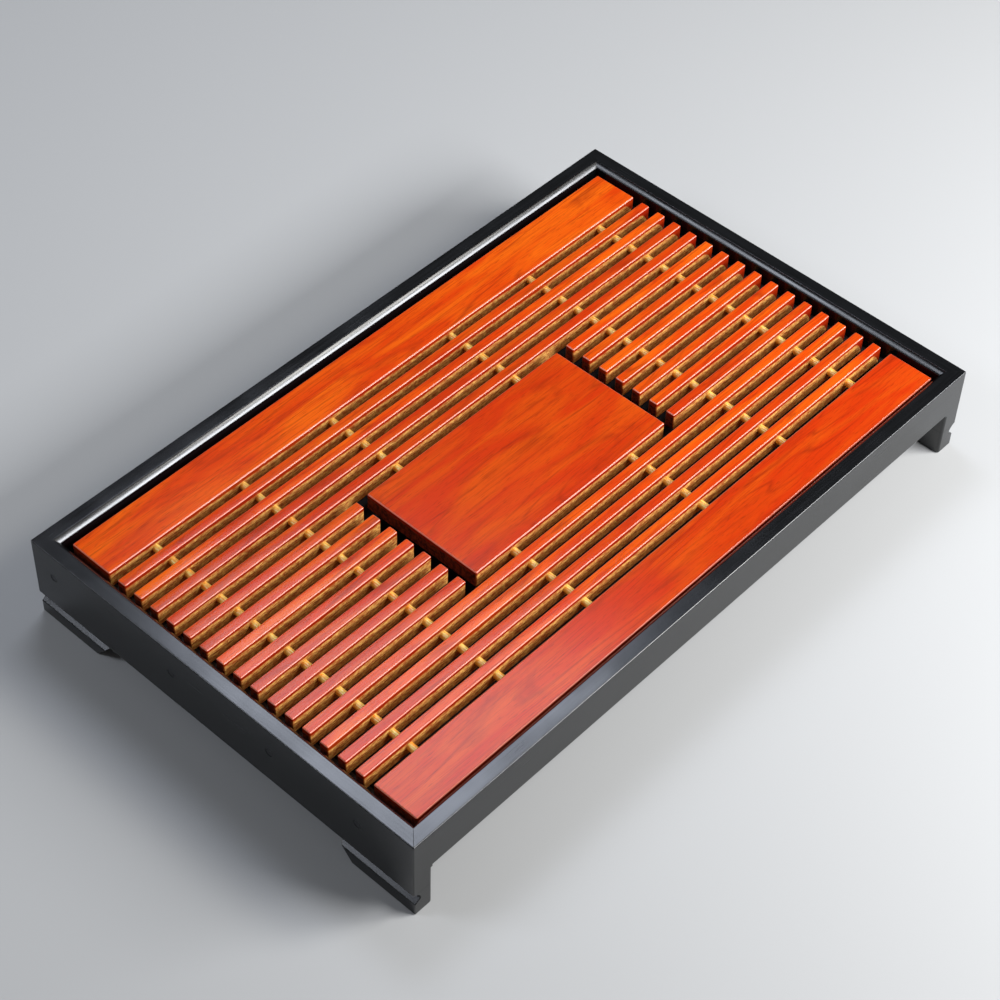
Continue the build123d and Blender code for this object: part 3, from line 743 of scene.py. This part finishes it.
def makePan(name, cut):
    # thermoformed tray: a lip all round, walls with draft and a rounded floor edge
    halfX, halfY, shelf = cut["halfLength"], cut["halfWidth"], cut["top"] - cut["wall"]
    pan = addBlock(name, (-halfX, -halfY, shelf), (halfX, halfY, cut["top"]))
    roundEdges(cut["corner"], 8, lambda p, d: near(abs(d.z), 1))
    choose("faces", lambda p, n: near(n.z, -1, 0.001))
    bpy.ops.mesh.inset(thickness=cut["lip"] * mm)
    drawIn(shelf - cut["bottom"], cut)
    choose("faces", lambda p, n: near(n.z, 1, 0.001))
    bpy.ops.mesh.inset(thickness=(cut["lip"] + cut["wall"]) * mm)
    drawIn(shelf - cut["bottom"], cut)
    roundEdges(cut["floorRound"], 4,
               lambda p, d: near(p.z, cut["bottom"]) or near(p.z, cut["bottom"] + cut["wall"]))
    roundEdges(cut["lipRound"], 2,
               lambda p, d: near(p.z, cut["top"])
               or near(p.z, shelf) and (near(abs(p.x), halfX) or near(abs(p.y), halfY)))
    finishPiece(pan, plain["moulded ABS"], "pan", "pan_plastic", name)


makePan("water_pan", panCut)
print("pan modelled")


# Floor, lamps and camera

floorLook = {"colour": "#BCBCBA", "size": 30, "drop": 0.0002, "roughness": 0.8}  # in metres
bpy.ops.object.select_all(action="DESELECT")
bpy.ops.mesh.primitive_plane_add(size=floorLook["size"], location=(0, 0, -floorLook["drop"]))
floor = bpy.context.object
floor.name = "floor"
floorMaterial, floorTree, *_ = startMaterial("matt paper sweep")
floorShader = addNode(floorTree, "ShaderNodeBsdfPrincipled",
                      {"Base Color": linearColour(floorLook["colour"]), "Roughness": floorLook["roughness"]})
addNode(floorTree, "ShaderNodeOutputMaterial", {0: floorShader})
floor.data.materials.append(floorMaterial)

lamps = {  # place, size and the point that it faces, in metres, then radiance and colour
    "overheadSoftbox": ((0.393, 0.523, 1.3), (0.55, 0.44), (-0.146, 0.216, 0), 7.2, "#E6EEFF"),
    "rightSoftbox": ((0.80, -0.785, 1.144), (0.42, 0.38), (0, 0, 0), 17.0, "#FFFDF8"),
    "frontStrip": ((0.70, -0.99, 0.69), (1.15, 0.34), (0.70, 0, 0), 24.0, "#F8FAFF"),
    "leftFill": ((-1.0, 0.78, 1.23), (0.67, 0.34), (0, 0.78, 0), 9.0, "#EAF1FF"),
}
for name, (place, size, target, radiance, colour) in lamps.items():
    data = bpy.data.lights.new(name, "AREA")
    data.shape = "RECTANGLE"
    data.size, data.size_y = size
    data.energy = radiance * math.pi * size[0] * size[1]
    data.color = linearColour(colour)[:3]
    lamp = bpy.data.objects.new(name, data)
    bpy.context.scene.collection.objects.link(lamp)
    lamp.location = place
    lamp.rotation_euler = (Vector(place) - Vector(target)).to_track_quat("Z", "Y").to_euler()

worldLook = {"colour": "#F4F6FA", "strength": 0.1}
world = bpy.data.worlds.new("studio")
bpy.context.scene.world = world
world.use_nodes = True
background = world.node_tree.nodes["Background"]
background.inputs["Color"].default_value = linearColour(worldLook["colour"])
background.inputs["Strength"].default_value = worldLook["strength"]

view = {  # degrees, metres, and millimetres for the lens and sensor
    "azimuth": -48.664, "elevation": 47.619, "roll": 2.066,
    "distance": 1.469864, "aside": 0.008125, "down": 0.011755, "rise": 0.00334,
    "nearest": 0.05, "farthest": 60,
    "lens": 88.06, "sensor": 36,
}
azimuth, elevation, roll = (math.radians(view[key]) for key in ("azimuth", "elevation", "roll"))
back = Vector((math.sin(azimuth) * math.cos(elevation), -math.cos(azimuth) * math.cos(elevation),
               math.sin(elevation)))
level = Vector((math.cos(azimuth), math.sin(azimuth), 0))
upright = back.cross(level)
rightWay = level * math.cos(roll) + upright * math.sin(roll)
upWay = upright * math.cos(roll) - level * math.sin(roll)
cameraData = bpy.data.cameras.new("camera")
cameraData.lens = view["lens"]
cameraData.sensor_width = view["sensor"]
cameraData.clip_start = view["nearest"]
cameraData.clip_end = view["farthest"]
camera = bpy.data.objects.new("camera", cameraData)
bpy.context.scene.collection.objects.link(camera)
placed = Matrix((rightWay, upWay, back)).transposed().to_4x4()
placed.translation = (back * view["distance"] - rightWay * view["aside"] + upWay * view["down"]
                      + Vector((0, 0, view["rise"])))
camera.matrix_world = placed
bpy.context.scene.camera = camera
bpy.context.scene.view_settings.view_transform = "Standard"
print("stage set")
